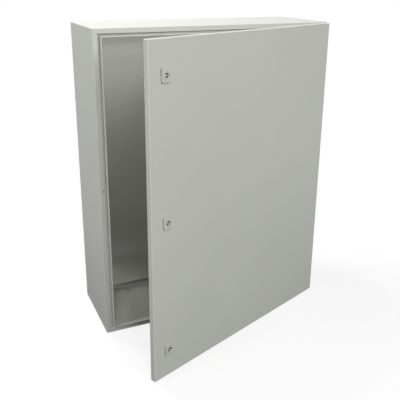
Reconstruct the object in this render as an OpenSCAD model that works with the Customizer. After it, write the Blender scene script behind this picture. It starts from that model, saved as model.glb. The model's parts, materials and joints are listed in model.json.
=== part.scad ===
// Wall-mounting sheet-steel enclosure with a hinged door, a folded front frame
// with a rain channel, three quarter-turn locks and a mounting plate.
// Frame: X to the right, Y towards the wall, Z up. The origin is the centre of
// the four wall holes, on the outer face of the rear panel.

/* [Cabinet] */
// Width over the side walls
body_w = 800; // [600:10:1000]
// Height over the roof and the floor
body_h = 1000; // [900:10:1200]
// Depth from the wall to the face of the front frame
body_d = 280; // [200:10:400]
// Thickness of the body's steel sheet
sheet_t = 1.5; // [1.2:0.1:2]
// Inner radius of every fold in the body and the door
fold_r = 1; // [0.6:0.1:1.5]

/* [Front frame] */
// Width of the flat face behind the door's edge
face_w = 16; // [15:0.5:20]
// Width of the rain channel between face and rim
channel_w = 6; // [5:0.5:10]
// Depth of the rain channel below the face
channel_depth = 10; // [8:1:14]
// How far the hemmed rim stands forward of the face
rim_h = 12; // [8:0.5:13]
// Length of the hem folded back inside the rim
hem_len = 8; // [5:1:12]
// Diameter of the spare hinge hole in the face on the lock side
spare_hole_d = 5; // [4:0.5:6]
// Distance of the spare hinge hole from the outer side
spare_hole_in = 11; // [8:0.5:12]
// Height of the spare hinge hole over the middle of the body
spare_hole_up = 6; // [0:1:25]

/* [Rear panel and wall holes] */
// Length of the rear panel's folded edges
rear_fold = 30; // [20:1:40]
// Distance of each wall hole from the body's sides
wall_hole_in = 25; // [20:1:40]
// Diameter of the wall holes, for M8 bolts
wall_hole_d = 9; // [8:0.5:12]

/* [Mounting plate] */
// Thickness of the mounting plate
plate_t = 2; // [1.5:0.5:3]
// Distance from the wall to the plate's front
plate_stand = 25; // [20:1:60]
// Gap between the plate's edge and the clear opening, on each side
plate_gap = 6; // [4:1:20]
// Length of the plate's folded long edges
plate_fold = 10; // [6:1:14]
// Distance of each plate stud from the plate's edges
plate_stud_in = 15; // [13:1:30]
// Diameter of the plate studs
plate_stud_d = 8; // [6:1:10]

/* [Gland plate] */
// Width of the opening in the floor
gland_w = 300; // [200:10:500]
// Depth of the opening in the floor
gland_d = 120; // [80:5:140]
// Distance from the wall to the middle of the opening
gland_y = 145; // [120:5:160]
// Width of the gland plate's rim around the opening
gland_rim = 20; // [16:1:24]
// Thickness of the gland plate's seal
gland_seal_t = 2; // [1:0.5:3]
// Thickness of the gland plate
gland_t = 1.5; // [1:0.5:3]
// Diameter of the gland plate's studs
gland_stud_d = 6; // [5:1:8]

/* [Earth studs] */
// Diameter of the earth studs on the floor and on the door
earth_d = 6; // [5:1:8]
// Length of the earth studs
earth_len = 12; // [11:1:30]
// Distance of the floor's earth stud from the left side wall
earth_side = 149; // [120:1:170]
// Distance of the floor's earth stud from the wall
earth_back = 40; // [36:1:60]
// Distance of the door's earth stud from the body's hinge side
door_earth_side = 150; // [140:1:200]
// Distance of the door's earth stud from the body's underside
door_earth_up = 60; // [50:1:100]

/* [Door] */
// Gap from the door's edge to the body's side
door_gap = 3; // [2:0.5:4]
// Gap between the door's folded edge and the frame's face
door_lift = 3; // [2:0.5:4]
// Depth of the door's folded edge
door_depth = 17; // [16:0.5:20]
// Thickness of the door's steel sheet
door_t = 1.5; // [1.2:0.1:2]
// How far the door stands open
door_angle = 21.5; // [0:0.5:115]
// Width of the foam gasket
gasket_w = 12; // [9:1:12]
// Gap between the gasket and the rim when the door is shut
gasket_gap = 0.3; // [0.2:0.1:1]

/* [Door rails] */
// Distance from the door's edge to the near side of each rail
rail_in = 100; // [95:5:200]
// Width of the perforated rail
rail_w = 25; // [18:1:40]
// Depth of the perforated rail
rail_d = 15; // [10:1:15]
// Distance from the rail's end to the top or bottom of the door
rail_end = 60; // [50:5:120]
// Distance between the holes of the rail
rail_pitch = 25; // [20:5:50]
// Diameter of the holes of the rail
rail_hole_d = 6.5; // [4:0.5:9]

/* [Hinges] */
// Distance of the hinge axis from the body's side
axis_in = 10; // [9.5:0.25:10.5]
// Distance of the hinge axis from the frame's face
axis_out = 13; // [12.75:0.25:13.25]
// Distance from the upper and lower hinge to the body's roof and floor
hinge_end = 100; // [90:5:200]
// Diameter of the hinge pin
pin_d = 5; // [4:0.5:5]
// Wall of the hinge barrel around the pin
barrel_wall = 1.95; // [1.5:0.05:2]
// Length of the hinge barrel
barrel_len = 26; // [20:1:30]
// Thickness of the bracket's ears and back
bracket_t = 2; // [1.5:0.25:2.5]
// Height of the hinge foot on the frame's face
foot_len = 50; // [46:1:60]
// Thickness of the hinge foot
foot_t = 2.5; // [2:0.25:2.5]

/* [Locks] */
// Distance of the lock's axis from the door's edge
lock_in = 55; // [50:1:60]
// Distance from the upper and lower lock to the body's roof and floor
lock_end = 95; // [80:5:200]
// Width of the lock's plate
lock_w = 30; // [26:1:34]
// Height of the lock's plate
lock_h = 38; // [32:1:44]
// How far the lock's plate stands proud of its seal
lock_proud = 5; // [4:0.5:7]
// Diameter of the lock's threaded barrel
lock_barrel_d = 20; // [18:0.5:22]
// Diameter of the turning insert
insert_d = 15; // [13:0.5:15]
// Reach of the cam from the lock's axis
cam_reach = 40; // [36:1:44]
// Width of the cam
cam_w = 16; // [14:1:18]
// Thickness of the cam
cam_t = 3; // [2:0.5:4]

/* [Fits] */
// Radial clearance of a part that turns
run_gap = 0.05; // [0.02:0.01:0.1]
// Radial clearance of a screw, stud or barrel in its hole
hole_gap = 0.2; // [0.1:0.05:0.5]
// Clearance between a sliding face and its neighbour
side_gap = 0.3; // [0.2:0.05:0.5]

/* [Hidden] */
$fn = 48;
eps = 0.01;
// The corners of a hull have fewer faces than other curves.
hull_fn = 32;
// Length of thread that stands past a nut
past_nut = 2;
// Radius of a nut's round upper face, as a share of its width
nut_face = 0.475;

// Front frame, measured inwards from the body's side
rim_in = face_w + channel_w;
opening_in = rim_in + 2 * sheet_t;
opening_w = body_w - 2 * opening_in;
opening_h = body_h - 2 * opening_in;
front_y = -body_d;
mitre_w = 40;

// Rear panel
rear_w = body_w - 2 * sheet_t;
rear_h = body_h - 2 * sheet_t;

// Mounting plate, its studs, spacers and nuts
plate_w = opening_w - 2 * plate_gap;
plate_h = opening_h - 2 * plate_gap;
plate_back = -(plate_stand - plate_t);
stud_x = plate_w / 2 - plate_stud_in;
stud_z = plate_h / 2 - plate_stud_in;
plate_hole_gap = 0.5;
plate_hole_d = plate_stud_d + 2 * plate_hole_gap;
plate_washer_t = 1.6;
plate_washer_d = 2.1 * plate_stud_d;
spacer_wall = 3;
plate_nut_t = 0.8 * plate_stud_d;
plate_stud_tip = -(plate_stand + plate_washer_t + plate_nut_t + past_nut);

// Gland plate
floor_z = -body_h / 2 + sheet_t;
gland_r = 8;
gland_stud_x = (gland_w + gland_rim) / 2;
gland_stud_y = (gland_d + gland_rim) / 2;
gland_nut_t = 0.8 * gland_stud_d;
seal_hole_gap = 0.5;

// Door, shut
door_w = body_w - 2 * door_gap;
door_h = body_h - 2 * door_gap;
door_back_y = front_y - door_lift;
door_face_y = door_back_y - door_depth;
door_inner_y = door_face_y + door_t;
gasket_t = door_lift + door_depth - door_t - rim_h - gasket_gap;
gasket_mid_in = rim_in + sheet_t;
gasket_r = 8;
hinge_x = body_w / 2 - axis_in;
hinge_y = front_y - axis_out;

// Hinges, measured from the axis
hinge_pitch = body_h / 2 - hinge_end;
hinge_z = [-hinge_pitch, 0, hinge_pitch];
pin_r = pin_d / 2;
barrel_r = pin_r + run_gap + barrel_wall;
inner_out = door_lift + door_depth - door_t - axis_out;
edge_out = door_gap + door_t - axis_in;
bracket_face = inner_out - bracket_t;
bracket_tab = 9;
bracket_left = edge_out + fold_r + side_gap;
bracket_right = gasket_mid_in - gasket_w / 2 - axis_in - side_gap;
bracket_half = foot_len / 2 + bracket_tab;
ear_in = barrel_len / 2 + side_gap;
ear_out = ear_in + bracket_t;
foot_inset = 3.5;
foot_left = foot_inset - axis_in;
foot_right = face_w - fold_r - sheet_t - axis_in;
foot_top = foot_t - axis_out;
arm_t = 3.5;
foot_screw_z = (foot_len / 2 + barrel_len / 2) / 2;
notch_room = 4;
clip_groove = 0.4;
foot_screw_p = (foot_left + foot_right) / 2;
foot_screw_d = 5;
foot_screw_len = 12;
rivet_nut_wall = 1.5;
rivet_nut_len = 6;
bracket_screw_z = (bracket_half + ear_out) / 2;
bracket_stud_d = 4;
bracket_nut_t = 3.2;
notch_half = foot_len / 2 + notch_room;
pin_head_r = bracket_face - side_gap;
pin_head_t = 1.5;
pin_tail = 2;
clip_t = 0.8;
clip_r = pin_r - clip_groove;
clip_slot = 1.6 * pin_r;

// Locks, measured outwards from the door's face along the lock's axis
lock_pitch = body_h / 2 - lock_end;
lock_z = [-lock_pitch, 0, lock_pitch];
lock_x = -body_w / 2 + door_gap + lock_in;
lock_seal_t = 0.8;
lock_plate_r = 4;
lock_bevel = 1;
lock_boss_r = lock_barrel_d / 2 + 0.8;
lock_boss_h = 1;
lock_front = lock_seal_t + lock_proud;
lock_barrel_end = -13;
lock_nut_t = 5;
lock_nut_af = lock_barrel_d + 7;
insert_r = insert_d / 2 - run_gap;
insert_wall = 1;
insert_shoulder = 1.5;
insert_step_r = insert_r - insert_shoulder;
insert_step = lock_barrel_end + 4;
insert_sunk = 0.8;
insert_front = lock_front - insert_sunk;
insert_recess = 7;
bit_sunk = 0.5;
bit_h = insert_recess - bit_sunk;
bit_r = 2.6;
bit_len = 9.5;
bit_w = 2.8;
cam_near = lock_barrel_end - side_gap;
cam_square = 8;
cam_screw_d = 6;
cam_screw_len = 7;
cam_screw_head = 4;
cam_rise = 14;
cam_clear = 1;
cam_face = -(door_lift + door_depth) - channel_depth - sheet_t - cam_clear;
cam_hub_r = 9;

// Earth studs
earth_x = -body_w / 2 + earth_side;
door_earth_x = body_w / 2 - door_earth_side;
door_earth_z = -body_h / 2 + door_earth_up;
earth_washer_t = 1.2;
earth_nut_t = 0.75 * earth_d;

ends = ["lower", "middle", "upper"];
CABINET = ["body_shell", "rear_panel", "plate_studs", "plate_spacers", "mounting_plate",
           "plate_washers", "plate_nuts", "gland_seal", "gland_plate", "gland_studs",
           "gland_nuts", "earth_stud", "earth_nut", "hinge_screws", "hinge_rivet_nuts"];
DOOR = ["door_panel", "door_gasket", "door_rail_left", "door_rail_right", "hinge_clips",
        "bracket_studs", "bracket_nuts", "door_earth_stud", "door_earth_nut",
        "lock_seals", "lock_nuts"];
THREES = ["hinge_foot", "hinge_bracket", "hinge_pin", "lock_housing", "lock_insert",
          "lock_cam", "cam_screw"];

paint = [0.80, 0.80, 0.77];
zinc = [0.72, 0.73, 0.74];
galvanised = [0.66, 0.67, 0.66];
foam = [0.16, 0.16, 0.16];

// ---- sheet metal ----

// Rectangle with round corners, as exact arcs
module rounded(w, h, r) {
    square([w - 2 * r, h], center = true);
    square([w, h - 2 * r], center = true);
    for (x = [-1, 1], y = [-1, 1])
        translate([x * (w / 2 - r), y * (h / 2 - r)]) circle(r);
}

// Quarter ring of a fold, turned to one of four quadrants
module fold(at, turn, t) {
    translate(at) rotate(90 * turn) intersection() {
        difference() {
            circle(fold_r + t);
            circle(fold_r);
        }
        square(fold_r + t);
    }
}

// Rectangle from its low corner to its high corner
module strip(low, high) {
    translate(low) square(high - low);
}

// One side of a rectangular frame: its section runs along X and is mitred
module mitred_bar(len, off) {
    translate([0, -off, 0]) intersection() {
        rotate([90, 0, 90]) linear_extrude(len, center = true) children();
        linear_extrude(3 * body_d, center = true)
            polygon([[-len / 2, 0], [len / 2, 0],
                     [len / 2 - mitre_w, mitre_w], [-len / 2 + mitre_w, mitre_w]]);
    }
}

// A section taken round all four sides, with its corners rounded off
module mitred_frame(w, h, r) {
    intersection() {
        union() {
            for (turn = [0, 180]) rotate(turn) mitred_bar(w, h / 2) children();
            for (turn = [90, 270]) rotate(turn) mitred_bar(h, w / 2) children();
        }
        linear_extrude(3 * body_d, center = true) rounded(w, h, r);
    }
}

// Folded tray: a flat sheet with its face at height 0 and its edges folded down
module tray(w, h, depth, t) {
    mitred_frame(w, h, fold_r + t) {
        union() {
            strip([0, -depth], [t, -fold_r - t]);
            fold([fold_r + t, -fold_r - t], 1, t);
            strip([fold_r + t, -t], [mitre_w, 0]);
        }
    }
    translate([0, 0, -t / 2]) cube([w - mitre_w, h - mitre_w, t], center = true);
}

// Turns a front view (X right, Y up, Z forwards) into the cabinet's frame
module front_view(y) {
    translate([0, y, 0]) rotate([90, 0, 0]) children();
}

// Swings the door's parts open about the hinge axis
module on_door() {
    translate([hinge_x, hinge_y, 0]) rotate(door_angle) translate([-hinge_x, -hinge_y, 0])
        children();
}

// Hexagonal nut with the corners of its upper face turned off at 30 degrees
module hex_nut(af, t, hole_d) {
    difference() {
        intersection() {
            cylinder(d = af / cos(30), h = t, $fn = 6);
            cylinder(r1 = nut_face * af + t / tan(30), r2 = nut_face * af, h = t);
        }
        translate([0, 0, -1]) cylinder(d = hole_d, h = t + 2);
    }
}

module washer(outer_d, t, hole_d) {
    difference() {
        cylinder(d = outer_d, h = t);
        translate([0, 0, -1]) cylinder(d = hole_d, h = t + 2);
    }
}

// Welded stud with a chamfered tip, standing up from height 0
module stud(d, len) {
    cylinder(d = d, h = len - 1);
    translate([0, 0, len - 1]) cylinder(d1 = d, d2 = d - 1.6, h = 1);
}

// ---- cabinet ----

// Section of the front frame: side wall, face, rain channel and hemmed rim.
// X runs inwards from the body's side, Y forwards from the frame's face.
module frame_section() {
    r = fold_r + sheet_t;
    strip([0, -body_d], [sheet_t, -r]);
    fold([r, -r], 1, sheet_t);
    strip([r, -sheet_t], [face_w - r, 0]);
    fold([face_w - r, -r], 0, sheet_t);
    strip([face_w - sheet_t, fold_r - channel_depth], [face_w, -r]);
    fold([face_w + fold_r, fold_r - channel_depth], 2, sheet_t);
    strip([face_w + fold_r, -channel_depth - sheet_t], [rim_in - fold_r, -channel_depth]);
    fold([rim_in - fold_r, fold_r - channel_depth], 3, sheet_t);
    strip([rim_in, fold_r - channel_depth], [rim_in + sheet_t, rim_h - sheet_t]);
    translate([rim_in + sheet_t, rim_h - sheet_t]) intersection() {
        circle(sheet_t);
        translate([-sheet_t, 0]) square([2 * sheet_t, sheet_t]);
    }
    strip([rim_in + sheet_t, rim_h - sheet_t - hem_len],
          [rim_in + 2 * sheet_t, rim_h - sheet_t]);
}

module body_shell() {
    color(paint) difference() {
        front_view(front_y) mitred_frame(body_w, body_h, fold_r + sheet_t) frame_section();
        translate([0, -gland_y, -body_h / 2]) linear_extrude(4 * sheet_t, center = true)
            rounded(gland_w, gland_d, gland_r);
        translate([spare_hole_in - body_w / 2, 0, spare_hole_up]) front_view(front_y)
            cylinder(d = spare_hole_d, h = 4 * sheet_t, center = true);
        for (z = hinge_z, s = [-1, 1])
            translate([hinge_x - foot_screw_p, 0, z + s * foot_screw_z]) front_view(front_y)
                cylinder(d = foot_screw_d + 2 * hole_gap, h = 4 * sheet_t, center = true);
    }
}

module rear_panel() {
    color(paint) difference() {
        rotate([-90, 0, 0]) tray(rear_w, rear_h, rear_fold, sheet_t);
        for (x = [-1, 1], z = [-1, 1])
            translate([x * (body_w / 2 - wall_hole_in), 0, z * (body_h / 2 - wall_hole_in)])
                rotate([90, 0, 0]) cylinder(d = wall_hole_d, h = 4 * sheet_t, center = true);
    }
}

module at_plate_studs(y) {
    for (x = [-1, 1], z = [-1, 1])
        translate([x * stud_x, y, z * stud_z]) rotate([90, 0, 0]) children();
}

module plate_studs() {
    color(zinc) at_plate_studs(-sheet_t) stud(plate_stud_d, -plate_stud_tip - sheet_t);
}

module plate_spacers() {
    color(zinc) at_plate_studs(-sheet_t)
        washer(plate_stud_d + 2 * spacer_wall, -plate_back - sheet_t, plate_stud_d + 2 * hole_gap);
}

module mounting_plate() {
    r = fold_r + plate_t;
    color(galvanised) difference() {
        linear_extrude(plate_h, center = true) {
            strip([r - plate_w / 2, -plate_stand], [plate_w / 2 - r, plate_back]);
            for (s = [0, 1]) mirror([s, 0]) {
                fold([plate_w / 2 - r, r - plate_stand], 3, plate_t);
                strip([plate_w / 2 - plate_t, r - plate_stand],
                      [plate_w / 2, plate_fold - plate_stand]);
            }
        }
        at_plate_studs(plate_back + 1) cylinder(d = plate_hole_d, h = plate_t + 2);
    }
}

module plate_washers() {
    color(zinc) at_plate_studs(-plate_stand)
        washer(plate_washer_d, plate_washer_t, plate_stud_d + 2 * hole_gap);
}

module plate_nuts() {
    color(zinc) at_plate_studs(-plate_stand - plate_washer_t)
        hex_nut(1.6 * plate_stud_d, plate_nut_t, plate_stud_d + 2 * run_gap);
}

module at_gland_studs(z) {
    for (x = [-1, -1 / 3, 1 / 3, 1], y = [-1, 1])
        translate([x * gland_stud_x, y * gland_stud_y - gland_y, z]) children();
}

module gland_seal() {
    color(foam) difference() {
        translate([0, -gland_y, floor_z]) linear_extrude(gland_seal_t) difference() {
            rounded(gland_w + 2 * gland_rim, gland_d + 2 * gland_rim, gland_r);
            rounded(gland_w, gland_d, gland_r);
        }
        at_gland_studs(floor_z - 1) cylinder(d = gland_stud_d + 2 * seal_hole_gap, h = gland_seal_t + 2);
    }
}

module gland_plate() {
    color(paint) difference() {
        translate([0, -gland_y, floor_z + gland_seal_t]) linear_extrude(gland_t)
            rounded(gland_w + 2 * gland_rim, gland_d + 2 * gland_rim, gland_r);
        at_gland_studs(floor_z) cylinder(d = gland_stud_d + 2 * hole_gap, h = 12);
    }
}

module gland_studs() {
    color(zinc) at_gland_studs(floor_z)
        stud(gland_stud_d, gland_seal_t + gland_t + gland_nut_t + past_nut);
}

module gland_nuts() {
    color(zinc) at_gland_studs(floor_z + gland_seal_t + gland_t)
        hex_nut(1.65 * gland_stud_d, gland_nut_t, gland_stud_d + 2 * run_gap);
}

// Nut with a washer below it in one piece, which holds an earth lug on its stud
module flanged_nut(d) {
    washer(2.2 * d, earth_washer_t, d + 2 * run_gap);
    translate([0, 0, earth_washer_t]) hex_nut(1.65 * d, earth_nut_t, d + 2 * run_gap);
}

module earth_stud() {
    color(zinc) translate([earth_x, -earth_back, floor_z]) stud(earth_d, earth_len);
}

module earth_nut() {
    color(zinc) translate([earth_x, -earth_back, floor_z]) flanged_nut(earth_d);
}

// ---- hinges ----

// Places a hinge part: X inwards and Y outwards from the axis, Z up
module at_hinge(z) {
    translate([hinge_x, hinge_y, z]) rotate(180) children();
}

module hinge_foot(z) {
    color(zinc) at_hinge(z) difference() {
        union() {
            linear_extrude(foot_len, center = true)
                strip([foot_left, -axis_out], [foot_right, foot_top]);
            linear_extrude(barrel_len, center = true) {
                strip([0, foot_top - eps], [arm_t, 0]);
                circle(barrel_r);
            }
        }
        cylinder(r = pin_r + run_gap, h = barrel_len + 2, center = true);
        for (s = [-1, 1])
            translate([foot_screw_p, foot_top, s * foot_screw_z]) rotate([90, 0, 0])
                foot_screw_shape(hole_gap);
    }
}

// Countersunk screw with its head's face at height 0, grown by a clearance
module foot_screw_shape(gap) {
    head = foot_screw_d / 2;
    r = foot_screw_d / 2 + gap;
    translate([0, 0, -eps]) cylinder(r1 = r + head / 2, r2 = r, h = head / 2 + eps);
    cylinder(r = r, h = foot_screw_len);
}

module hinge_screws() {
    color(zinc) for (z = hinge_z, s = [-1, 1])
        at_hinge(z) translate([foot_screw_p, foot_top, s * foot_screw_z]) rotate([90, 0, 0])
            difference() {
                foot_screw_shape(0);
                translate([0, 0, -1]) cylinder(d = 0.5 * foot_screw_d, h = 1.8, $fn = 6);
            }
}

module hinge_rivet_nuts() {
    color(zinc) for (z = hinge_z, s = [-1, 1])
        at_hinge(z) translate([foot_screw_p, -axis_out - sheet_t, s * foot_screw_z])
            rotate([90, 0, 0])
                washer(foot_screw_d + 2 * rivet_nut_wall, rivet_nut_len, foot_screw_d + 2 * run_gap);
}

module hinge_bracket(z) {
    color(zinc) on_door() at_hinge(z) difference() {
        union() {
            linear_extrude(2 * bracket_half, center = true)
                strip([bracket_left, bracket_face], [bracket_right, inner_out]);
            for (s = [-1, 1])
                translate([0, 0, s * (ear_in + ear_out) / 2])
                    linear_extrude(ear_out - ear_in, center = true) {
                        strip([-barrel_r, 0], [barrel_r, bracket_face + eps]);
                        circle(barrel_r);
                    }
        }
        linear_extrude(2 * ear_in, center = true)
            strip([bracket_left - 1, bracket_face - 1], [bracket_right - 2, inner_out + 1]);
        cylinder(r = pin_r + run_gap, h = 3 * barrel_len, center = true);
        for (s = [-1, 1])
            translate([0, inner_out, s * bracket_screw_z]) rotate([90, 0, 0])
                cylinder(d = bracket_stud_d + 2 * hole_gap, h = 3 * bracket_t, center = true);
    }
}

module hinge_pin(z) {
    color(zinc) on_door() at_hinge(z) difference() {
        union() {
            translate([0, 0, -ear_out - clip_t - pin_tail])
                cylinder(r = pin_r, h = 2 * ear_out + clip_t + pin_tail);
            translate([0, 0, ear_out]) cylinder(r = pin_head_r, h = pin_head_t);
        }
        translate([0, 0, -ear_out - clip_t]) difference() {
            cylinder(r = pin_r + 1, h = clip_t);
            cylinder(r = clip_r, h = clip_t);
        }
    }
}

module hinge_clips() {
    color(zinc) on_door() for (z = hinge_z)
        at_hinge(z) translate([0, 0, -ear_out - clip_t]) difference() {
            cylinder(r = pin_head_r, h = clip_t);
            translate([0, 0, -1]) cylinder(r = clip_r + run_gap, h = clip_t + 2);
            translate([-clip_slot / 2, 0, -1]) cube([clip_slot, 3 * pin_r, clip_t + 2]);
        }
}

module at_bracket_studs(y) {
    on_door() for (z = hinge_z, s = [-1, 1])
        at_hinge(z) translate([0, y, s * bracket_screw_z]) rotate([90, 0, 0]) children();
}

module bracket_studs() {
    color(zinc) at_bracket_studs(inner_out)
        stud(bracket_stud_d, bracket_t + bracket_nut_t + past_nut);
}

module bracket_nuts() {
    color(zinc) at_bracket_studs(bracket_face)
        hex_nut(1.75 * bracket_stud_d, bracket_nut_t, bracket_stud_d + 2 * run_gap);
}

// ---- door ----

module door_panel() {
    color(paint) on_door() difference() {
        front_view(door_face_y) tray(door_w, door_h, door_depth, door_t);
        for (z = lock_z) at_lock(z)
            cylinder(d = lock_barrel_d + 2 * hole_gap, h = 4 * door_t, center = true);
        for (z = hinge_z) at_hinge(z) linear_extrude(2 * notch_half, center = true)
            strip([-axis_in, -axis_out], [edge_out + eps, inner_out]);
    }
}

module door_gasket() {
    outer_in = gasket_mid_in - gasket_w / 2;
    inner_in = gasket_mid_in + gasket_w / 2;
    color(foam) on_door() front_view(door_inner_y) translate([0, 0, -gasket_t])
        linear_extrude(gasket_t) difference() {
            rounded(body_w - 2 * outer_in, body_h - 2 * outer_in, gasket_r);
            rounded(body_w - 2 * inner_in, body_h - 2 * inner_in, gasket_r / 2);
        }
}

// Perforated rail: an open channel with its legs welded to the door's inside
module door_rail(x) {
    half = door_h / 2 - rail_end;
    count = floor((2 * half - 2 * rail_pitch) / rail_pitch);
    color(paint) on_door() translate([x, door_inner_y, 0]) difference() {
        linear_extrude(2 * half, center = true) difference() {
            strip([-rail_w / 2, 0], [rail_w / 2, rail_d]);
            strip([door_t - rail_w / 2, -1], [rail_w / 2 - door_t, rail_d - door_t]);
        }
        for (k = [0 : count])
            translate([0, rail_d, (k - count / 2) * rail_pitch]) rotate([90, 0, 0])
                cylinder(d = rail_hole_d, h = 4 * door_t, center = true);
    }
}

module door_rail_left() {
    door_rail(-door_w / 2 + rail_in + rail_w / 2);
}

module door_rail_right() {
    door_rail(door_w / 2 - rail_in - rail_w / 2);
}

module at_door_earth() {
    on_door() translate([door_earth_x, door_inner_y, door_earth_z]) rotate([-90, 0, 0])
        children();
}

module door_earth_stud() {
    color(zinc) at_door_earth() stud(earth_d, earth_len);
}

module door_earth_nut() {
    color(zinc) at_door_earth() flanged_nut(earth_d);
}

// ---- locks ----

// Places a lock part: Z outwards from the door's face, Y up
module at_lock(z) {
    translate([lock_x, 0, z]) front_view(door_face_y) children();
}

module lock_seals() {
    color(foam) on_door() for (z = lock_z) at_lock(z) linear_extrude(lock_seal_t) difference() {
        rounded(lock_w - 1, lock_h - 1, lock_plate_r);
        circle(lock_barrel_d / 2 + hole_gap);
    }
}

module lock_housing(z) {
    color(paint) on_door() at_lock(z) difference() {
        union() {
            hull() for (step = [[0, 0], [lock_proud - lock_bevel, 0], [lock_proud - eps, lock_bevel]],
                        x = [-1, 1], y = [-1, 1])
                translate([x * (lock_w / 2 - lock_plate_r), y * (lock_h / 2 - lock_plate_r),
                           lock_seal_t + step[0]])
                    cylinder(r = lock_plate_r - step[1], h = eps, $fn = hull_fn);
            translate([0, 0, lock_seal_t])
                cylinder(r = lock_boss_r, h = lock_proud + lock_boss_h);
            translate([0, 0, lock_barrel_end])
                cylinder(d = lock_barrel_d, h = lock_front - lock_barrel_end);
        }
        translate([0, 0, insert_step]) cylinder(d = insert_d, h = 40);
        cylinder(r = insert_step_r + run_gap, h = 80, center = true);
    }
}

module lock_nuts() {
    color(zinc) on_door() for (z = lock_z) at_lock(z) translate([0, 0, -door_t - lock_nut_t])
        hex_nut(lock_nut_af, lock_nut_t, lock_barrel_d + 2 * run_gap);
}

// Turning insert with a double-bit key form standing in its round recess
module lock_insert(z) {
    color(zinc) on_door() at_lock(z) difference() {
        union() {
            difference() {
                translate([0, 0, insert_step + side_gap])
                    cylinder(r = insert_r, h = insert_front - insert_step - side_gap);
                translate([0, 0, insert_front - insert_recess])
                    cylinder(r = insert_r - insert_wall, h = insert_recess + 1);
            }
            translate([0, 0, insert_front - insert_recess]) {
                cylinder(r = bit_r, h = bit_h);
                linear_extrude(bit_h) square([bit_len, bit_w], center = true);
            }
            translate([0, 0, lock_barrel_end - side_gap])
                cylinder(r = insert_step_r, h = insert_step - lock_barrel_end + 2 * side_gap);
            translate([0, 0, cam_near - cam_t])
                linear_extrude(cam_t + eps) square(cam_square, center = true);
        }
        translate([0, 0, cam_near - cam_t - 1]) cylinder(d = cam_screw_d, h = cam_screw_len + 2);
    }
}

// Cranked cam, pointing up when unlocked
module lock_cam(z) {
    color(zinc) on_door() at_lock(z) difference() {
        union() {
            translate([0, 0, cam_near - cam_t]) {
                cylinder(r = cam_hub_r, h = cam_t);
                translate([-cam_w / 2, 0, 0]) cube([cam_w, cam_rise + cam_t, cam_t]);
            }
            translate([-cam_w / 2, cam_rise, cam_face - cam_t])
                cube([cam_w, cam_t, cam_near - cam_face + cam_t - eps]);
            translate([-cam_w / 2, cam_rise, cam_face - cam_t])
                cube([cam_w, cam_reach - cam_w / 2 - cam_rise, cam_t]);
            translate([0, cam_reach - cam_w / 2, cam_face - cam_t])
                cylinder(d = cam_w, h = cam_t);
        }
        translate([0, 0, cam_near - cam_t - 1]) linear_extrude(cam_t + 2)
            square(cam_square + 2 * run_gap, center = true);
    }
}

module cam_screw(z) {
    color(zinc) on_door() at_lock(z) {
        translate([0, 0, cam_near - cam_t - cam_screw_head])
            cylinder(d = 1.7 * cam_screw_d, h = cam_screw_head, $fn = 6);
        translate([0, 0, cam_near - cam_t - eps])
            cylinder(r = cam_screw_d / 2 - run_gap, h = cam_screw_len);
    }
}

body_shell();
rear_panel();
plate_studs();
plate_spacers();
mounting_plate();
plate_washers();
plate_nuts();
gland_seal();
gland_plate();
gland_studs();
gland_nuts();
earth_stud();
earth_nut();
hinge_screws();
hinge_rivet_nuts();
door_panel();
door_gasket();
door_rail_left();
door_rail_right();
hinge_clips();
bracket_studs();
bracket_nuts();
door_earth_stud();
door_earth_nut();
lock_seals();
lock_nuts();
hinge_foot(hinge_z[0]);  // hinge_foot_lower
hinge_foot(hinge_z[1]);  // hinge_foot_middle
hinge_foot(hinge_z[2]);  // hinge_foot_upper
hinge_bracket(hinge_z[0]);  // hinge_bracket_lower
hinge_bracket(hinge_z[1]);  // hinge_bracket_middle
hinge_bracket(hinge_z[2]);  // hinge_bracket_upper
hinge_pin(hinge_z[0]);  // hinge_pin_lower
hinge_pin(hinge_z[1]);  // hinge_pin_middle
hinge_pin(hinge_z[2]);  // hinge_pin_upper
lock_housing(lock_z[0]);  // lock_housing_lower
lock_housing(lock_z[1]);  // lock_housing_middle
lock_housing(lock_z[2]);  // lock_housing_upper
lock_insert(lock_z[0]);  // lock_insert_lower
lock_insert(lock_z[1]);  // lock_insert_middle
lock_insert(lock_z[2]);  // lock_insert_upper
lock_cam(lock_z[0]);  // lock_cam_lower
lock_cam(lock_z[1]);  // lock_cam_middle
lock_cam(lock_z[2]);  // lock_cam_upper
cam_screw(lock_z[0]);  // cam_screw_lower
cam_screw(lock_z[1]);  // cam_screw_middle
cam_screw(lock_z[2]);  // cam_screw_upper
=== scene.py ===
import json
import math

import bpy
from mathutils import Matrix, Vector, noise


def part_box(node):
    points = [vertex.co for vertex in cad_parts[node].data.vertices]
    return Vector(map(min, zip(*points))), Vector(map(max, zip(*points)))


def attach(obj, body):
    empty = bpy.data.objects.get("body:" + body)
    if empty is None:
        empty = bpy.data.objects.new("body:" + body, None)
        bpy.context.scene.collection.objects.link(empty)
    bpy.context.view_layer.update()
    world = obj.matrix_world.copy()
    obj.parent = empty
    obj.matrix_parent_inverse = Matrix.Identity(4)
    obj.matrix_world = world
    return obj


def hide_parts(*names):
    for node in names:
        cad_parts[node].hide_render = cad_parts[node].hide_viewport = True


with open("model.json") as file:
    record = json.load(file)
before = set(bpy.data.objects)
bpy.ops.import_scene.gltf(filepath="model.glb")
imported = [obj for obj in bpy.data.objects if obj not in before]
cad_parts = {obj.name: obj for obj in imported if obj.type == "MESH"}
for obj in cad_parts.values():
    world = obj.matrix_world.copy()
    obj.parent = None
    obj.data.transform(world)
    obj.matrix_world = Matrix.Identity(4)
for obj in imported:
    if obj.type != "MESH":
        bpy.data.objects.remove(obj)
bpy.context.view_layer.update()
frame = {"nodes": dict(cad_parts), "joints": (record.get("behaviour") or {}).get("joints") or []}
cad = frame["nodes"]
scene = bpy.context.scene
MM = 0.001


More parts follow.
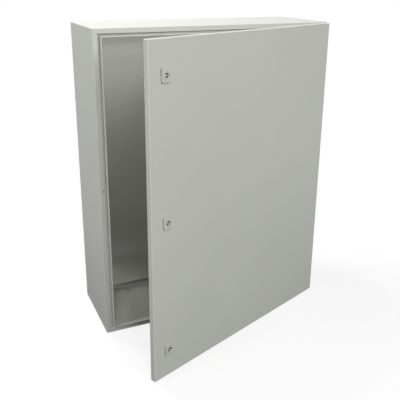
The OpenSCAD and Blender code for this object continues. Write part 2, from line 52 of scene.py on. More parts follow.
# ---- Studio ----
# The cabinet stands on a pale floor in a white room. Softboxes in front and at both sides light
# the paint. A high one behind lights the roof and the door's inside, which the plate mirrors.

scene.view_settings.view_transform = "Standard"
body_low, body_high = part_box("body_shell")

CAMERA_LEFT = 0.412
CAMERA_FRONT = 1.688
CAMERA_UP = 1.145
CAMERA_TURN = math.radians(23.96)
CAMERA_DIP = math.radians(18.71)
CAMERA_ROLL = math.radians(0.40)
LENS = 53.05
LENS_SHIFT = -0.063
RIM_FORWARD = 12 * MM


def make_camera():
    data = bpy.data.cameras.new("camera")
    data.sensor_width = 36
    data.lens = LENS
    data.shift_y = LENS_SHIFT
    camera = bpy.data.objects.new("camera", data)
    scene.collection.objects.link(camera)
    spot = Vector((body_low.x - CAMERA_LEFT, body_low.y + RIM_FORWARD - CAMERA_FRONT,
                   body_low.z + CAMERA_UP))
    turn = Matrix.Rotation(-CAMERA_TURN, 4, "Z") @ Matrix.Rotation(math.pi / 2 - CAMERA_DIP, 4, "X")
    camera.matrix_world = Matrix.Translation(spot) @ turn @ Matrix.Rotation(CAMERA_ROLL, 4, "Z")
    scene.camera = camera


def softbox(name, spot, size, power):
    """A square lamp at a spot, turned towards the middle of the cabinet's front."""
    data = bpy.data.lights.new(name, "AREA")
    data.shape = "SQUARE"
    data.size = size
    data.energy = power
    lamp = bpy.data.objects.new(name, data)
    scene.collection.objects.link(lamp)
    lamp.location = Vector(spot)
    lamp.rotation_mode = "QUATERNION"
    aim = Vector((0, body_low.y, 0))
    lamp.rotation_quaternion = (aim - lamp.location).to_track_quat("-Z", "Y")


def around(turn, rise, distance):
    """A spot at a distance from the cabinet's front, turned to the right and raised."""
    turn, rise = math.radians(turn), math.radians(rise)
    flat = distance * math.cos(rise)
    return flat * math.sin(turn), body_low.y - flat * math.cos(turn), distance * math.sin(rise)


def place(tree, kind, inputs=None, **settings):
    """A new node with its settings, its values and the sockets that feed it."""
    node = tree.nodes.new(kind)
    for key, value in settings.items():
        setattr(node, key, value)
    for key, value in (inputs or {}).items():
        if isinstance(value, bpy.types.NodeSocket):
            tree.links.new(value, node.inputs[key])
        else:
            node.inputs[key].default_value = value
    return node


def seen_directly(tree):
    """1 for rays from the camera and for those that metal or glass sends back, else 0."""
    path = place(tree, "ShaderNodeLightPath")
    either = place(tree, "ShaderNodeMath", {0: path.outputs["Is Camera Ray"],
                   1: path.outputs["Is Glossy Ray"]}, operation="MAXIMUM")
    return place(tree, "ShaderNodeMath", {0: either.outputs[0],
                 1: path.outputs["Is Transmission Ray"]}, operation="MAXIMUM").outputs[0]


def make_world():
    """White to the eye, and no light on the cabinet."""
    world = bpy.data.worlds.new("room")
    scene.world = world
    world.use_nodes = True
    tree = world.node_tree
    tree.nodes.clear()
    room = place(tree, "ShaderNodeBackground", {"Color": (0, 0, 0, 1), "Strength": 0.0})
    white = place(tree, "ShaderNodeBackground", {"Color": (1, 1, 1, 1), "Strength": 1.0})
    mix = place(tree, "ShaderNodeMixShader", {0: seen_directly(tree), 1: room.outputs[0],
                2: white.outputs[0]})
    place(tree, "ShaderNodeOutputWorld", {"Surface": mix.outputs[0]})


def make_floor(reach=30, shadow=0.20, near=0.5, far=1.3, pale=0.90, painted_shade_in_metal=0.35, bounce=0.12):
    """White to the eye, with a faint shadow close to the cabinet. Metal sees a darker floor, a
    painted shade in its reflections, and the floor sends little light back up."""
    mesh = bpy.data.meshes.new("floor")
    corners = [(-reach, -reach), (reach, -reach), (reach, reach), (-reach, reach)]
    mesh.from_pydata([(x, y, body_low.z - 0.1 * MM) for x, y in corners], [], [(0, 1, 2, 3)])
    floor = bpy.data.objects.new("floor", mesh)
    scene.collection.objects.link(floor)
    material = bpy.data.materials.new("pale_floor")
    material.use_nodes = True
    tree = material.node_tree
    tree.nodes.clear()
    where = place(tree, "ShaderNodeTexCoord")
    away = place(tree, "ShaderNodeVectorMath", {0: where.outputs["Object"],
                 1: (0, body_low.y, body_low.z)}, operation="DISTANCE")
    path = place(tree, "ShaderNodeLightPath")
    depth = place(tree, "ShaderNodeMath", {0: path.outputs["Is Glossy Ray"], 1: 1 - shadow,
                  2: shadow}, operation="MULTIPLY_ADD")
    fade = place(tree, "ShaderNodeMapRange", {"Value": away.outputs["Value"], "From Min": near,
                 "From Max": far, "To Min": depth.outputs[0], "To Max": 0.0},
                 interpolation_type="SMOOTHSTEP")
    # Painted shade: metal mirrors a floor of a darker colour than the one the camera sees.
    tone = place(tree, "ShaderNodeMath", {0: path.outputs["Is Glossy Ray"], 1: painted_shade_in_metal - pale,
                 2: pale}, operation="MULTIPLY_ADD")
    white = place(tree, "ShaderNodeEmission", {"Color": (1, 1, 1, 1), "Strength": 1.0})
    shaded = place(tree, "ShaderNodeBsdfDiffuse", {"Color": tone.outputs[0]})
    shown = place(tree, "ShaderNodeMixShader", {0: fade.outputs[0], 1: white.outputs[0],
                  2: shaded.outputs[0]})
    lit = place(tree, "ShaderNodeBsdfDiffuse", {"Color": (bounce, bounce, bounce, 1)})
    mix = place(tree, "ShaderNodeMixShader", {0: seen_directly(tree), 1: lit.outputs[0],
                2: shown.outputs[0]})
    place(tree, "ShaderNodeOutputMaterial", {"Surface": mix.outputs[0]})
    mesh.materials.append(material)


make_camera()
make_world()
make_floor()
softbox("key", around(-10, 28, 6.0), 0.9, 108)
softbox("key_high", around(-25, 40, 6.0), 0.9, 86)
softbox("fill_right", around(20, 18, 6.0), 0.9, 96)
softbox("fill_right_high", around(20, 28, 6.0), 0.9, 54)
softbox("side_left", around(-82, 25, 3.0), 1.0, 34)
softbox("side_right", around(115, 12, 3.0), 1.0, 20)
softbox("back_left_high", around(-150, 65, 3.0), 1.0, 76)


# ---- Body shell ----
# One folded and welded case of 1.5 mm steel sheet: side walls, front face, rain channel and
# hemmed rim. It has a light grey polyester powder coat with a fine orange peel and a low sheen.


def new_group(name, inputs, outputs):
    tree = bpy.data.node_groups.new(name, "ShaderNodeTree")
    for label, kind, value in inputs:
        socket = tree.interface.new_socket(name=label, in_out="INPUT", socket_type=kind)
        socket.default_value = value
    for label, kind in outputs:
        tree.interface.new_socket(name=label, in_out="OUTPUT", socket_type=kind)
    return tree, tree.nodes.new("NodeGroupInput"), tree.nodes.new("NodeGroupOutput")


def make_edge_rub():
    """Mask of the outer edges, and a normal that rounds them over."""
    tree, given, result = new_group(
        "edge_rub",
        [("Radius", "NodeSocketFloat", 0.0006), ("Breakup", "NodeSocketFloat", 60.0)],
        [("Mask", "NodeSocketFloat"), ("Normal", "NodeSocketVector")])
    flat = place(tree, "ShaderNodeNewGeometry")
    soft = place(tree, "ShaderNodeBevel", {"Radius": given.outputs["Radius"]}, samples=4)
    same = place(tree, "ShaderNodeVectorMath", {0: soft.outputs[0], 1: flat.outputs["Normal"]},
                 operation="DOT_PRODUCT")
    edge = place(tree, "ShaderNodeMapRange", {"Value": same.outputs["Value"], "From Min": 0.995,
                 "From Max": 0.80, "To Min": 0.0, "To Max": 1.0})
    where = place(tree, "ShaderNodeTexCoord")
    patches = place(tree, "ShaderNodeTexNoise", {"Vector": where.outputs["Object"],
                    "Scale": given.outputs["Breakup"], "Detail": 3.0})
    rub = place(tree, "ShaderNodeMath", {0: edge.outputs[0], 1: patches.outputs[0]},
                operation="MULTIPLY")
    tree.links.new(rub.outputs[0], result.inputs["Mask"])
    tree.links.new(soft.outputs[0], result.inputs["Normal"])
    return tree


def make_powder_grain():
    """Fine orange peel of a powder coat, with a faint drift of tone over each panel."""
    tree, given, result = new_group(
        "powder_grain",
        [("Color", "NodeSocketColor", (0.5, 0.5, 0.5, 1)), ("Grain", "NodeSocketFloat", 900.0),
         ("Depth", "NodeSocketFloat", 0.06), ("Drift", "NodeSocketFloat", 0.03),
         ("Roughness", "NodeSocketFloat", 0.5), ("Normal", "NodeSocketVector", (0, 0, 0))],
        [("Color", "NodeSocketColor"), ("Roughness", "NodeSocketFloat"),
         ("Normal", "NodeSocketVector")])
    where = place(tree, "ShaderNodeTexCoord").outputs["Object"]
    grain = place(tree, "ShaderNodeTexNoise", {"Vector": where, "Scale": given.outputs["Grain"],
                  "Detail": 2.0, "Roughness": 0.55})
    cloud = place(tree, "ShaderNodeTexNoise", {"Vector": where, "Scale": 3.5, "Detail": 4.0,
                  "Roughness": 0.6})
    lighter = place(tree, "ShaderNodeMath", {0: given.outputs["Drift"], 1: 1.0}, operation="ADD")
    darker = place(tree, "ShaderNodeMath", {0: 1.0, 1: given.outputs["Drift"]},
                   operation="SUBTRACT")
    tone = place(tree, "ShaderNodeMapRange", {"Value": cloud.outputs[0], "From Min": 0.3,
                 "From Max": 0.7, "To Min": darker.outputs[0], "To Max": lighter.outputs[0]})
    speck = place(tree, "ShaderNodeMapRange", {"Value": grain.outputs[0], "From Min": 0.3,
                  "From Max": 0.7, "To Min": 0.975, "To Max": 1.025})
    both = place(tree, "ShaderNodeMath", {0: tone.outputs[0], 1: speck.outputs[0]},
                 operation="MULTIPLY")
    shade = place(tree, "ShaderNodeVectorMath", {0: given.outputs["Color"],
                  "Scale": both.outputs[0]}, operation="SCALE")
    gloss = place(tree, "ShaderNodeMath", {0: grain.outputs[0], 1: 0.10,
                  2: given.outputs["Roughness"]}, operation="MULTIPLY_ADD")
    bump = place(tree, "ShaderNodeBump", {"Strength": given.outputs["Depth"], "Distance": 0.0004,
                 "Height": grain.outputs[0], "Normal": given.outputs["Normal"]})
    tree.links.new(shade.outputs[0], result.inputs["Color"])
    tree.links.new(gloss.outputs[0], result.inputs["Roughness"])
    tree.links.new(bump.outputs[0], result.inputs["Normal"])
    return tree


edge_rub = make_edge_rub()
powder_grain = make_powder_grain()


def new_material(name):
    material = bpy.data.materials.new(name)
    material.use_nodes = True
    tree = material.node_tree
    tree.nodes.clear()
    shader = place(tree, "ShaderNodeBsdfPrincipled")
    place(tree, "ShaderNodeOutputMaterial", {"Surface": shader.outputs[0]})
    return material, tree, shader


def finish(material, tree, shader, edge, coat, bright):
    """Joins a coat to its shader, a little brighter where the edges are rubbed."""
    lift = place(tree, "ShaderNodeMix", {"Factor": edge.outputs["Mask"],
                 "A": coat.outputs["Color"], "B": (*[min(1, c) for c in bright], 1)},
                 data_type="RGBA")
    tree.links.new(lift.outputs[2], shader.inputs["Base Color"])
    tree.links.new(coat.outputs["Roughness"], shader.inputs["Roughness"])
    tree.links.new(coat.outputs["Normal"], shader.inputs["Normal"])
    return material


def painted(name, color, grain=900.0, depth=0.06, drift=0.02, roughness=0.50):
    material, tree, shader = new_material(name)
    shader.inputs["Specular IOR Level"].default_value = 0.35
    edge = place(tree, "ShaderNodeGroup", {"Radius": 0.5 * MM}, node_tree=edge_rub)
    coat = place(tree, "ShaderNodeGroup", {"Color": (*color, 1), "Grain": grain, "Depth": depth,
                 "Drift": drift, "Roughness": roughness, "Normal": edge.outputs["Normal"]},
                 node_tree=powder_grain)
    return finish(material, tree, shader, edge, coat, [1.15 * c for c in color])


def dress(material, *names):
    for name in names:
        slots = cad[name].data.materials
        slots.clear()
        slots.append(material)


PAINT = (0.50, 0.51, 0.47)
cabinet_paint = painted("cabinet_paint", PAINT)
dress(cabinet_paint, "body_shell")


# ---- Rear panel ----
# A shallow folded tray set into the back of the shell. Its edges are spot-welded to the walls,
# and each weld leaves a small round dent with a raised lip under the paint.


def new_piece(name, points, faces, material, body, at=None, sharp=35):
    mesh = bpy.data.meshes.new(name)
    mesh.from_pydata(points, [], faces)
    mesh.shade_smooth()
    mesh.set_sharp_from_angle(angle=math.radians(sharp))
    mesh.materials.append(material)
    piece = bpy.data.objects.new(name, mesh)
    scene.collection.objects.link(piece)
    if at is not None:
        piece.matrix_world = at
    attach(piece, body)
    return piece


def skin(points, faces, rings, joined=False):
    """Adds rings of equally many points and the faces between them, with both ends closed
    or, if joined, with the last ring led back to the first."""
    count = len(rings[0])
    first = len(points)
    for ring in rings:
        points.extend(ring)
    last = len(rings) if joined else len(rings) - 1
    for j in range(last):
        a, b = first + j * count, first + (j + 1) % len(rings) * count
        for i in range(count):
            k = (i + 1) % count
            faces.append((a + i, a + k, b + k, b + i))
    if not joined:
        faces.append(tuple(range(first + count - 1, first - 1, -1)))
        faces.append(tuple(range(first + last * count, first + (last + 1) * count)))


def turned(at, outline, sides=20):
    """Rings of a turned shape: outline holds radius and height in mm along the Z of `at`."""
    step = 2 * math.pi / sides
    return [[at @ Vector((r * MM * math.cos(i * step), r * MM * math.sin(i * step), h * MM))
             for i in range(sides)] for r, h in outline]


def facing(spot, out):
    """A frame at a spot whose Z points along `out`."""
    return Matrix.Translation(spot) @ Vector(out).to_track_quat("Z", "Y").to_matrix().to_4x4()


def make_spot_welds(spacing=90 * MM, in_from_edge=7 * MM, sheets=3 * MM):
    dent = [(2.9, -0.3), (2.9, 0.0), (2.5, 0.13), (2.1, 0.06), (1.0, 0.02)]
    points, faces = [], []
    low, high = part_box("rear_panel")
    depth = low.y + in_from_edge
    for side, half, wall in (("x", high.z, body_high.x), ("z", high.x, body_high.z)):
        count = int(2 * (half - 30 * MM) / spacing)
        for k in range(count + 1):
            along = (k - count / 2) * spacing
            for sign in (-1, 1):
                out = (-sign, 0, 0) if side == "x" else (0, 0, -sign)
                spot = ((sign * (wall - sheets), depth, along) if side == "x"
                        else (along, depth, sign * (wall - sheets)))
                skin(points, faces, turned(facing(spot, out), dent))
    new_piece("rear_spot_welds", points, faces, cabinet_paint, "cabinet")


dress(cabinet_paint, "rear_panel")
make_spot_welds()


# ---- Plug of the spare hinge hole ----
# The hole that a hinge would use if the door were hung on the other side. A small domed plug of
# black rubber is pressed into it, a little below the face.


def make_rubber(color=(0.018, 0.018, 0.019)):
    material, tree, shader = new_material("black_rubber")
    edge = place(tree, "ShaderNodeGroup", {"Radius": 0.2 * MM}, node_tree=edge_rub)
    coat = place(tree, "ShaderNodeGroup", {"Color": (*color, 1), "Grain": 2200.0, "Depth": 0.15,
                 "Drift": 0.10, "Roughness": 0.62, "Normal": edge.outputs["Normal"]},
                 node_tree=powder_grain)
    return finish(material, tree, shader, edge, coat, [2.0 * c for c in color])


SPARE_HOLE_IN = 11 * MM
SPARE_HOLE_UP = 6 * MM
spare_hole = Vector((body_low.x + SPARE_HOLE_IN, body_low.y + RIM_FORWARD, SPARE_HOLE_UP))
plug = [(2.1, -4.0), (2.6, -2.2), (2.42, -1.6), (2.42, -0.5), (2.2, -0.25), (1.5, -0.08),
        (0.6, -0.02)]
points, faces = [], []
skin(points, faces, turned(facing(spare_hole, (0, -1, 0)), plug, sides=28))
new_piece("spare_hole_plug", points, faces, make_rubber(), "cabinet")


# ---- Mounting plate ----
# A loose plate of 2 mm hot-dip galvanised steel with its long edges folded back. The zinc is
# smooth and fairly bright, and its faint crystals each take the light a little differently.


def make_spangle():
    """Tone, gloss and tilt of the zinc crystals on a galvanised sheet."""
    tree, given, result = new_group(
        "spangle",
        [("Color", "NodeSocketColor", (0.5, 0.5, 0.5, 1)), ("Crystals", "NodeSocketFloat", 75.0),
         ("Contrast", "NodeSocketFloat", 0.10), ("Roughness", "NodeSocketFloat", 0.4),
         ("Normal", "NodeSocketVector", (0, 0, 0))],
        [("Color", "NodeSocketColor"), ("Roughness", "NodeSocketFloat"),
         ("Normal", "NodeSocketVector")])
    where = place(tree, "ShaderNodeTexCoord").outputs["Object"]
    warp = place(tree, "ShaderNodeTexNoise", {"Vector": where, "Scale": 90.0, "Detail": 3.0})
    bent = place(tree, "ShaderNodeVectorMath", {0: warp.outputs["Color"], 1: (0.008, 0.008, 0.008),
                 2: where}, operation="MULTIPLY_ADD")
    cells = place(tree, "ShaderNodeTexVoronoi", {"Vector": bent.outputs[0],
                  "Scale": given.outputs["Crystals"]})
    cell = place(tree, "ShaderNodeSeparateColor", {"Color": cells.outputs["Color"]})
    lighter = place(tree, "ShaderNodeMath", {0: 1.0, 1: given.outputs["Contrast"]},
                    operation="ADD")
    darker = place(tree, "ShaderNodeMath", {0: 1.0, 1: given.outputs["Contrast"]},
                   operation="SUBTRACT")
    tone = place(tree, "ShaderNodeMapRange", {"Value": cell.outputs[0],
                 "To Min": darker.outputs[0], "To Max": lighter.outputs[0]})
    shade = place(tree, "ShaderNodeVectorMath", {0: given.outputs["Color"],
                  "Scale": tone.outputs[0]}, operation="SCALE")
    gloss = place(tree, "ShaderNodeMath", {0: cell.outputs[1], 1: 0.02,
                  2: given.outputs["Roughness"]}, operation="MULTIPLY_ADD")
    feather = place(tree, "ShaderNodeTexNoise", {"Vector": where, "Scale": 420.0, "Detail": 2.0})
    relief = place(tree, "ShaderNodeMath", {0: cell.outputs[2], 1: 0.5,
                   2: feather.outputs[0]}, operation="MULTIPLY_ADD")
    bump = place(tree, "ShaderNodeBump", {"Strength": 0.006, "Distance": 0.0005,
                 "Height": relief.outputs[0], "Normal": given.outputs["Normal"]})
    tree.links.new(shade.outputs[0], result.inputs["Color"])
    tree.links.new(gloss.outputs[0], result.inputs["Roughness"])
    tree.links.new(bump.outputs[0], result.inputs["Normal"])
    return tree


def make_galvanised(color=(0.87, 0.87, 0.825)):
    spangle = make_spangle()
    material, tree, shader = new_material("galvanised_sheet")
    shader.inputs["Metallic"].default_value = 1.0
    edge = place(tree, "ShaderNodeGroup", {"Radius": 0.6 * MM}, node_tree=edge_rub)
    coat = place(tree, "ShaderNodeGroup", {"Color": (*color, 1), "Crystals": 70.0,
                 "Contrast": 0.02, "Roughness": 0.24, "Normal": edge.outputs["Normal"]},
                 node_tree=spangle)
    return finish(material, tree, shader, edge, coat, [1.2 * c for c in color])


dress(make_galvanised(), "mounting_plate")


# ---- Mounting plate fixings ----
# Four M8 studs are welded to the rear panel. A turned spacer, the plate, a washer and a nut go
# on each. All of it is bright zinc-plated steel with a faint cloudy tint.


def make_metal_tone():
    """Cloudy tint, uneven gloss and fine rubbing marks of a plated metal."""
    tree, given, result = new_group(
        "metal_tone",
        [("Color", "NodeSocketColor", (0.5, 0.5, 0.5, 1)),
         ("Tint", "NodeSocketColor", (0.5, 0.5, 0.5, 1)), ("Patch", "NodeSocketFloat", 60.0),
         ("Roughness", "NodeSocketFloat", 0.3), ("Spread", "NodeSocketFloat", 0.15),
         ("Marks", "NodeSocketFloat", 0.05), ("Normal", "NodeSocketVector", (0, 0, 0))],
        [("Color", "NodeSocketColor"), ("Roughness", "NodeSocketFloat"),
         ("Normal", "NodeSocketVector")])
    where = place(tree, "ShaderNodeTexCoord").outputs["Object"]
    cloud = place(tree, "ShaderNodeTexNoise", {"Vector": where, "Scale": given.outputs["Patch"],
                  "Detail": 4.0, "Roughness": 0.6})
    tint = place(tree, "ShaderNodeMix", {"Factor": cloud.outputs[0],
                 "A": given.outputs["Color"], "B": given.outputs["Tint"]}, data_type="RGBA")
    gloss = place(tree, "ShaderNodeMath", {0: cloud.outputs[0], 1: given.outputs["Spread"],
                  2: given.outputs["Roughness"]}, operation="MULTIPLY_ADD")
    drawn = place(tree, "ShaderNodeVectorMath", {0: where, 1: (2600.0, 2600.0, 320.0)},
                  operation="MULTIPLY")
    marks = place(tree, "ShaderNodeTexNoise", {"Vector": drawn.outputs[0], "Scale": 1.0,
                  "Detail": 2.0})
    bump = place(tree, "ShaderNodeBump", {"Strength": given.outputs["Marks"],
                 "Distance": 0.0003, "Height": marks.outputs[0],
                 "Normal": given.outputs["Normal"]})
    tree.links.new(tint.outputs[2], result.inputs["Color"])
    tree.links.new(gloss.outputs[0], result.inputs["Roughness"])
    tree.links.new(bump.outputs[0], result.inputs["Normal"])
    return tree


metal_tone = make_metal_tone()


def plated(name, color, tint, roughness, marks=0.06, patch=70.0):
    material, tree, shader = new_material(name)
    shader.inputs["Metallic"].default_value = 1.0
    edge = place(tree, "ShaderNodeGroup", {"Radius": 0.25 * MM}, node_tree=edge_rub)
    coat = place(tree, "ShaderNodeGroup", {"Color": (*color, 1), "Tint": (*tint, 1),
                 "Patch": patch, "Roughness": roughness, "Marks": marks,
                 "Normal": edge.outputs["Normal"]}, node_tree=metal_tone)
    return finish(material, tree, shader, edge, coat, [1.15 * c for c in color])


def add_thread(points, faces, at, diameter, pitch, length, rows=8, sides=24):
    """A stud along the Z of `at` with a helical thread, a chamfered tip and both ends closed."""
    crest = diameter / 2
    root = crest - 0.61 * pitch
    count = round(length / pitch * rows)
    rings = []
    for j in range(count + 1):
        height = length * j / count
        ring = []
        for i in range(sides):
            phase = (height / pitch - i / sides) % 1
            flank = min(1, 1.2 * (1 - abs(2 * phase - 1)))
            r = min(root + (crest - root) * flank, crest - pitch + length - height)
            a = 2 * math.pi * i / sides
            ring.append(at @ Vector((r * math.cos(a), r * math.sin(a), height)))
        rings.append(ring)
    skin(points, faces, rings)


def threaded(node, spots, out, pitch, body, at=None):
    """Studs with real threads in place of a node's plain ones. Spots are their welded ends."""
    points, faces = [], []
    for spot, diameter, length in spots:
        add_thread(points, faces, facing(spot, out), diameter, pitch, length)
    piece = new_piece(node + "_threaded", points, faces, zinc, body, at)
    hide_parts(node)


zinc = plated("zinc_plate", (0.62, 0.63, 0.64), (0.50, 0.51, 0.47), 0.30)
dress(zinc, "plate_spacers", "plate_washers", "plate_nuts")
low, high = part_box("plate_studs")
r = 4 * MM
threaded("plate_studs", [((x, high.y, z), 2 * r, high.y - low.y)
                         for x in (low.x + r, high.x - r) for z in (low.z + r, high.z - r)],
         (0, -1, 0), 1.25 * MM, "cabinet")


# ---- Gland plate ----
# A painted cover over the cable opening in the floor, held by eight M6 studs and nuts on a
# seal of closed-cell foam sheet, which bulges a little where the plate squeezes it.


def rounded_ring(width, height, radius, side_steps=1, corner_steps=8):
    """Points round a rectangle with round corners, from the upper end of its right side."""
    flat = []
    for quarter, (sx, sy) in enumerate(((1, 1), (-1, 1), (-1, -1), (1, -1))):
        for k in range(corner_steps + 1):
            a = math.pi / 2 * (quarter + k / corner_steps)
            flat.append((sx * (width / 2 - radius) + radius * math.cos(a),
                         sy * (height / 2 - radius) + radius * math.sin(a)))
        if side_steps > 1:
            ax, ay = flat[-1]
            nx, ny = ((-1, 1), (-1, -1), (1, -1), (1, 1))[quarter]
            b = math.pi / 2 * (quarter + 1)
            bx = nx * (width / 2 - radius) + radius * math.cos(b)
            by = ny * (height / 2 - radius) + radius * math.sin(b)
            flat += [(ax + (bx - ax) * k / side_steps, ay + (by - ay) * k / side_steps)
                     for k in range(1, side_steps)]
    return flat


def make_foam_cells():
    """Fine closed cells and a dusty bloom on rubber-like foam."""
    tree, given, result = new_group(
        "foam_cells",
        [("Color", "NodeSocketColor", (0.05, 0.05, 0.05, 1)), ("Cells", "NodeSocketFloat", 1400.0),
         ("Relief", "NodeSocketFloat", 0.3)],
        [("Color", "NodeSocketColor"), ("Roughness", "NodeSocketFloat"),
         ("Normal", "NodeSocketVector")])
    where = place(tree, "ShaderNodeTexCoord").outputs["Object"]
    cells = place(tree, "ShaderNodeTexVoronoi", {"Vector": where,
                  "Scale": given.outputs["Cells"]})
    bloom = place(tree, "ShaderNodeTexNoise", {"Vector": where, "Scale": 45.0, "Detail": 4.0})
    tone = place(tree, "ShaderNodeMapRange", {"Value": bloom.outputs[0], "From Min": 0.3,
                 "From Max": 0.7, "To Min": 0.8, "To Max": 1.35})
    shade = place(tree, "ShaderNodeVectorMath", {0: given.outputs["Color"],
                  "Scale": tone.outputs[0]}, operation="SCALE")
    gloss = place(tree, "ShaderNodeMath", {0: bloom.outputs[0], 1: 0.15, 2: 0.70},
                  operation="MULTIPLY_ADD")
    bump = place(tree, "ShaderNodeBump", {"Strength": given.outputs["Relief"],
                 "Distance": 0.0003, "Height": cells.outputs["Distance"]})
    tree.links.new(shade.outputs[0], result.inputs["Color"])
    tree.links.new(gloss.outputs[0], result.inputs["Roughness"])
    tree.links.new(bump.outputs[0], result.inputs["Normal"])
    return tree


foam_cells = make_foam_cells()


def foamed(name, color, cells, relief):
    material, tree, shader = new_material(name)
    coat = place(tree, "ShaderNodeGroup", {"Color": (*color, 1), "Cells": cells,
                 "Relief": relief}, node_tree=foam_cells)
    for given, taken in (("Color", "Base Color"), ("Roughness", "Roughness"),
                         ("Normal", "Normal")):
        tree.links.new(coat.outputs[given], shader.inputs[taken])
    return material


def add_foam_sheet(points, faces, outer, inner, place_point, thick, bulge):
    """A flat foam ring between two outlines, each shrunk at its cut faces by the bulge."""
    rings = []
    for outline, sign, heights in ((outer, -1, (0, 0.25, 0.75, 1)), (inner, 1, (1, 0.75, 0.25, 0))):
        for h in heights:
            give = sign * bulge if h in (0, 1) else 0
            rings.append([place_point(x + give * (x > 0) - give * (x < 0),
                                      y + give * (y > 0) - give * (y < 0), h * thick)
                          for x, y in outline])
    skin(points, faces, rings, joined=True)


dress(cabinet_paint, "gland_plate")
dress(zinc, "gland_nuts")
foam_sheet = foamed("foam_sheet", (0.030, 0.030, 0.032), 1500.0, 0.35)

low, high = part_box("gland_seal")
middle = (low + high) / 2
size = high - low
GLAND_RIM = 20 * MM
GLAND_CORNER = 8 * MM
points, faces = [], []
add_foam_sheet(points, faces, rounded_ring(size.x, size.y, GLAND_CORNER),
               rounded_ring(size.x - 2 * GLAND_RIM, size.y - 2 * GLAND_RIM, GLAND_CORNER),
               lambda x, y, h: Vector((middle.x + x, middle.y + y, low.z + h)), size.z, 0.4 * MM)
seal = new_piece("gland_foam_ring", points, faces, foam_sheet, "cabinet", sharp=60)
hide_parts("gland_seal")

low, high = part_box("gland_studs")
r = 3 * MM
across = high.x - low.x - 2 * r
threaded("gland_studs", [((low.x + r + across * k / 3, y, low.z), 2 * r, high.z - low.z)
                         for k in range(4) for y in (low.y + r, high.y - r)],
         (0, 0, 1), 1.0 * MM, "cabinet")


# ---- Earth stud in the cabinet ----
# A short welded M6 stud at the back of the floor, with a nut and washer in one piece that
# holds an earth lug.

dress(zinc, "earth_nut")
low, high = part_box("earth_stud")
threaded("earth_stud", [(((low.x + high.x) / 2, (low.y + high.y) / 2, low.z), high.x - low.x,
                         high.z - low.z)], (0, 0, 1), 1.0 * MM, "cabinet")


# ---- Hinges ----
# Three concealed hinges: a machined foot screwed to the front face with countersunk socket
# screws in rivet nuts, and a folded bracket on the door, joined by a steel pin with a clip.

bracket_plate = plated("zinc_folded", (0.60, 0.61, 0.60), (0.47, 0.48, 0.43), 0.34, marks=0.10)
pin_steel = plated("pin_steel", (0.56, 0.56, 0.55), (0.46, 0.46, 0.45), 0.22, marks=0.03)
ENDS = ("lower", "middle", "upper")
for end in ENDS:
    dress(zinc, "hinge_foot_" + end)
    dress(bracket_plate, "hinge_bracket_" + end)
    dress(pin_steel, "hinge_pin_" + end)
dress(zinc, "hinge_screws", "hinge_rivet_nuts", "bracket_nuts")
dress(pin_steel, "hinge_clips")

hinge = next(joint for joint in frame["joints"] if joint["name"] == "door_hinge")
turn_axis = next(joint for joint in frame["joints"] if joint["name"] == "lock_turn_middle")["axis"]
swing = (Matrix.Translation(hinge["pos_m"])
         @ Matrix.Rotation(math.atan2(turn_axis[0], -turn_axis[1]), 4, "Z")
         @ Matrix.Translation(-Vector(hinge["pos_m"])))


def shut_box(name):
    """A door node's lowest and highest corners as they are when the door is shut."""
    back = swing.inverted()
    spots = [back @ vertex.co for vertex in cad[name].data.vertices]
    return (Vector([min(spot[k] for spot in spots) for k in range(3)]),
            Vector([max(spot[k] for spot in spots) for k in range(3)]))


low, high = shut_box("bracket_studs")
r = 2 * MM
brackets = []
for end in ENDS:
    foot_low, foot_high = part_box("hinge_foot_" + end)
    brackets.append((foot_low.z + foot_high.z) / 2)
from_middle = brackets[0] - (low.z + r)
threaded("bracket_studs", [(((low.x + high.x) / 2, low.y, z + sign * from_middle), 2 * r,
                            high.y - low.y) for z in brackets for sign in (-1, 1)],
         (0, 1, 0), 0.7 * MM, "door", swing)


# ---- Door panel ----
# A tray of 1.5 mm sheet with its edges folded back towards the frame. Its four corners are
# closed by short welds inside, which the paint covers.


def add_bead(points, faces, start, end, side, up, leg, ripple=1.1 * MM):
    """A rippled fillet weld from start to end in the corner between two faces."""
    start, end, side, up = Vector(start), Vector(end), Vector(side), Vector(up)
    length = (end - start).length
    count = max(8, round(4 * length / ripple))
    rings = []
    for j in range(count + 1):
        t = j / count
        taper = max(0.15, min(1, 8 * t, 8 * (1 - t))) ** 0.5
        size = leg * taper * (0.90 + 0.10 * abs(math.sin(math.pi * t * length / ripple)))
        base = start.lerp(end, t)
        ring = [base - 0.1 * leg * (side + up)]
        for k in range(7):
            a = math.pi / 2 * k / 6
            ring.append(base + size * (math.cos(a) ** 1.3 * side + math.sin(a) ** 1.3 * up))
        rings.append(ring)
    skin(points, faces, rings)


dress(cabinet_paint, "door_panel")
low, high = shut_box("door_panel")
SHEET = 1.5 * MM
CORNER_WELD = 2.2 * MM
points, faces = [], []
for sx in (-1, 1):
    for sz in (-1, 1):
        corner_x = high.x - SHEET if sx > 0 else low.x + SHEET
        corner_z = high.z - SHEET if sz > 0 else low.z + SHEET
        add_bead(points, faces, (corner_x, low.y + 2 * SHEET, corner_z),
                 (corner_x, high.y - SHEET, corner_z), (-sx, 0, 0), (0, 0, -sz), CORNER_WELD)
new_piece("door_corner_welds", points, faces, cabinet_paint, "door", swing, sharp=50)
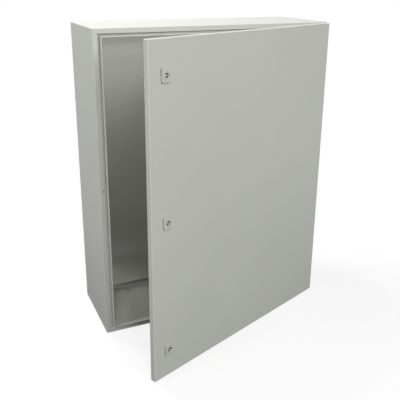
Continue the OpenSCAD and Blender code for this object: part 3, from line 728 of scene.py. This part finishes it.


# ---- Door gasket ----
# A polyurethane foam bead poured round the inside of the door. It has a crowned skin, a slightly
# uneven height, and a small lump at the bottom where the pour ends over its start.


def make_gasket(width=12 * MM, corner=15 * MM, steps=14, crown=0.94, pour_end=120 * MM):
    low, high = shut_box("door_gasket")
    thick = high.y - low.y
    middle = (low + high) / 2
    rings = []
    for k in range(steps + 1):
        a = math.pi * k / steps
        aside = width / 2 * math.copysign(abs(math.cos(a)) ** 0.7, math.cos(a))
        rise = math.sin(a) ** 0.6 if 0 < k < steps else 0
        outline = rounded_ring(high.x - low.x - width + 2 * aside,
                               high.z - low.z - width + 2 * aside,
                               corner + aside, side_steps=60)
        ring = []
        for x, z in outline:
            pour = math.exp(-((x - pour_end) / (7 * MM)) ** 2) if z < 0 else 0
            uneven = 0.012 * noise.noise(Vector((x, 0, z)) * 30)
            ring.append(Vector((middle.x + x, low.y + thick * rise
                                * (crown + uneven + 0.045 * pour), middle.z + z)))
        rings.append(ring)
    points, faces = [], []
    skin(points, faces, rings, joined=True)
    skin_foam = foamed("poured_foam", (0.045, 0.045, 0.047), 900.0, 0.12)
    gasket = new_piece("gasket_bead", points, faces, skin_foam, "door", swing, sharp=60)
    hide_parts("door_gasket")


make_gasket()


# ---- Door rails ----
# Two perforated channels stiffen the door and carry cable ties. Short fillet welds on both
# sides of each hold it to the door's inside.

dress(cabinet_paint, "door_rail_left", "door_rail_right")
RAIL_WELD = 2.6 * MM
WELD_LENGTH = 14 * MM
FIRST_WELD = 30 * MM
for name in ("door_rail_left", "door_rail_right"):
    low, high = shut_box(name)
    points, faces = [], []
    for k in range(5):
        z = low.z + FIRST_WELD + (high.z - low.z - 2 * FIRST_WELD) * k / 4
        for x, side in ((low.x, -1), (high.x, 1)):
            add_bead(points, faces, (x, low.y, z - WELD_LENGTH / 2),
                     (x, low.y, z + WELD_LENGTH / 2), (side, 0, 0), (0, 1, 0), RAIL_WELD)
    new_piece(name + "_welds", points, faces, cabinet_paint, "door", swing, sharp=50)


# ---- Earth stud on the door ----
# The door's own welded M6 stud, low on the hinge side, for the strap that joins it to the
# cabinet.

dress(zinc, "door_earth_nut")
low, high = shut_box("door_earth_stud")
threaded("door_earth_stud", [(((low.x + high.x) / 2, low.y, (low.z + high.z) / 2),
                              high.x - low.x, high.y - low.y)], (0, 1, 0), 1.0 * MM, "door", swing)


# ---- Quarter-turn locks ----
# A die-cast housing, painted like the door, on a thin foam seal with a large nut behind it. Its
# nickel-plated insert has a double-bit key form in a round recess and turns a zinc-plated cam.

lock_paint = painted("lock_paint", (0.49, 0.50, 0.465), grain=1400.0, depth=0.04, roughness=0.42)
nickel = plated("nickel_plate", (0.55, 0.55, 0.54), (0.46, 0.46, 0.45), 0.22, marks=0.03)
cam_zinc = plated("cam_zinc", (0.58, 0.59, 0.60), (0.48, 0.49, 0.46), 0.36, marks=0.12, patch=120.0)
dress(zinc, "lock_nuts")
PLATE_CORNER = 4 * MM
SEAL_BORE = 10.2 * MM
seal_low, seal_high = shut_box("lock_seals")
points, faces = [], []
for end in ENDS:
    dress(lock_paint, "lock_housing_" + end)
    dress(nickel, "lock_insert_" + end)
    dress(cam_zinc, "lock_cam_" + end)
    dress(zinc, "cam_screw_" + end)
    low, high = shut_box("lock_housing_" + end)
    middle = (low + high) / 2
    outer = rounded_ring(seal_high.x - seal_low.x, high.z - low.z - 1 * MM, PLATE_CORNER)
    inner = [(SEAL_BORE * math.cos(a), SEAL_BORE * math.sin(a))
             for a in (math.atan2(z, x) for x, z in outer)]
    add_foam_sheet(points, faces, outer, inner,
                   lambda x, z, h: Vector((middle.x + x, seal_high.y - h, middle.z + z)),
                   seal_high.y - seal_low.y, 0.2 * MM)
seals = new_piece("lock_foam_rings", points, faces, foam_sheet, "door", swing, sharp=60)
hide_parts("lock_seals")
